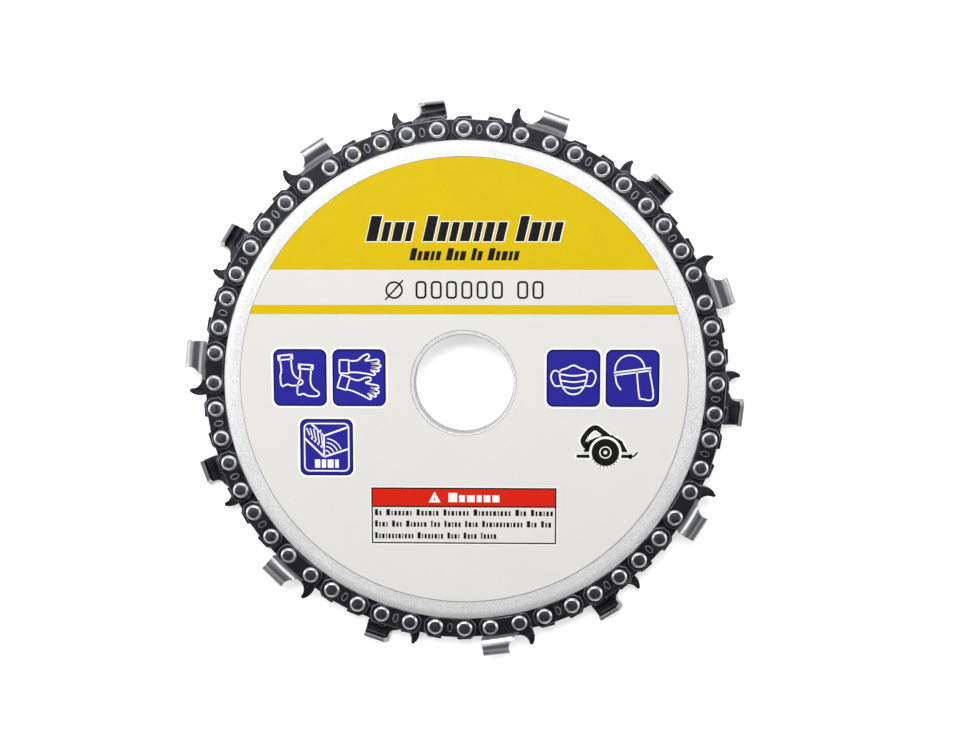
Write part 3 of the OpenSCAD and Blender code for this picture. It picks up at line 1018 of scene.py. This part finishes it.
# Powered saw, drawn plainly: blade, guard, body, handle and sole.
saw = dict(hub=np.array([31.9, -16.0]), blade=3.1, teeth=26, sole=-16.9, middle=(31.9, -14.4))
hub = saw["hub"]
sawBody = np.array([(26.9, -15.9), (36.9, -15.9), (35.6, -13.4), (33.9, -12.4), (30.2, -12.4), (28.2, -13.3)])
sawTail = curve([(37.2, -16.9), (38.3, -16.8), (39.1, -15.9)])
sawHandle = curve([(27.6, -14.9), (26.9, -13.2), (28.4, -11.0), (29.7, -10.4), (31.0, -11.2), (33.2, -13.0)])
for grow, colour, level in ((0.35, "bright", 1), (0.0, "black", 2)):
    patch(colour, sawBody + grow * np.sign(sawBody - saw["middle"]), level)
    solePlate = roundedBox(25.4 - grow, 37.6 + grow, saw["sole"] - 0.35 - grow, saw["sole"] + 0.4 + grow, 0.3)
    patch(colour, solePlate, level)
    stroke(colour, sawTail, 0.4 + 2 * grow, level)
    stroke(colour, sawHandle, 1.2 + 2 * grow, level)
patch("bright", arc(hub, saw["blade"] + 0.55, 0, 350, 0.3), 3)
patch("black", arc(hub, saw["blade"], 0, 350, 0.3), 4)
for k in range(saw["teeth"]):
    a = 2 * math.pi * k / saw["teeth"]
    if math.sin(a) < -0.25:
        out = np.array([math.cos(a), math.sin(a)])
        across = np.array([-out[1], out[0]]) * 0.22
        patch("black", np.array([out * 3.2 - across, out * 3.62 + across, out * 3.2 + across]) + hub, 4)
stroke("bright", arc(hub, 1.25, 0, 345, 0.2), 0.24, 5, closed=True)
patch("bright", arc(hub, 0.42, 0, 330, 0.15), 5)

# Panel: dark outline, red heading with a triangle and bars, three rows of small bars. A row is its words'
# letters, its middle height and its right end.
panel = dict(left=-20.9, right=21.0, top=-24.2, bottom=-37.1, heading=-28.4, rim=0.32)
rows = [((2, 7, 6, 7, 10, 3, 6), -29.9, 20.2),
        ((4, 3, 6, 3, 5, 4, 12, 3, 3), -32.5, 19.8),
        ((12, 8, 4, 4, 5), -35.2, 7.4)]
p = panel
inLeft = p["left"] + p["rim"]
inRight = p["right"] - p["rim"]
halo = roundedBox(p["left"] - 0.25, p["right"] + 0.25, p["bottom"] - 0.25, p["top"] + 0.25, 0.05)
patch("bright", halo, 0.5)
patch("black", roundedBox(p["left"], p["right"], p["bottom"], p["top"], 0.02), 1)
patch("red", roundedBox(inLeft, inRight, p["heading"], p["top"] - p["rim"], 0.02), 2)
patch("white", roundedBox(inLeft, inRight, p["bottom"] + p["rim"], p["heading"] - p["rim"], 0.02), 2)
patch("bright", [(-7.9, -27.6), (-5.2, -27.6), (-6.55, -25.1)], 3)
patch("red", [(-6.75, -27.2), (-6.35, -27.2), (-6.55, -26.1)], 4)
for shape in wordBars((6,), -3.4, 8.1, -27.5, 2.1, 0.0, 0.3):
    patch("bright", shape, 3)
smallPace = (0.7, 0.55, 0.85, 0.4, 0.75)
for words, middle, end in rows:
    for shape in wordBars(words, -20.1, end, middle - 0.75, 1.45, 0.0, 0.45, pace=smallPace):
        patch("black", shape, 3)

# The film's cut edge shows as a fine grey line.
filmMid = labelMid - printMid
stroke("slate", arc(filmMid, labelR - 0.06, 0, 359, 1.2), 0.1, 2, closed=True)
stroke("slate", arc(filmMid, film["holeR"] + 0.06, 0, 358, 0.5), 0.08, 2, closed=True)

for colour, parts in inks.items():
    makePiece(f"ink_{colour}", together(*parts), [finish[colour]], "disc")
print("label done,", sum(len(parts) for parts in inks.values()), "marks")
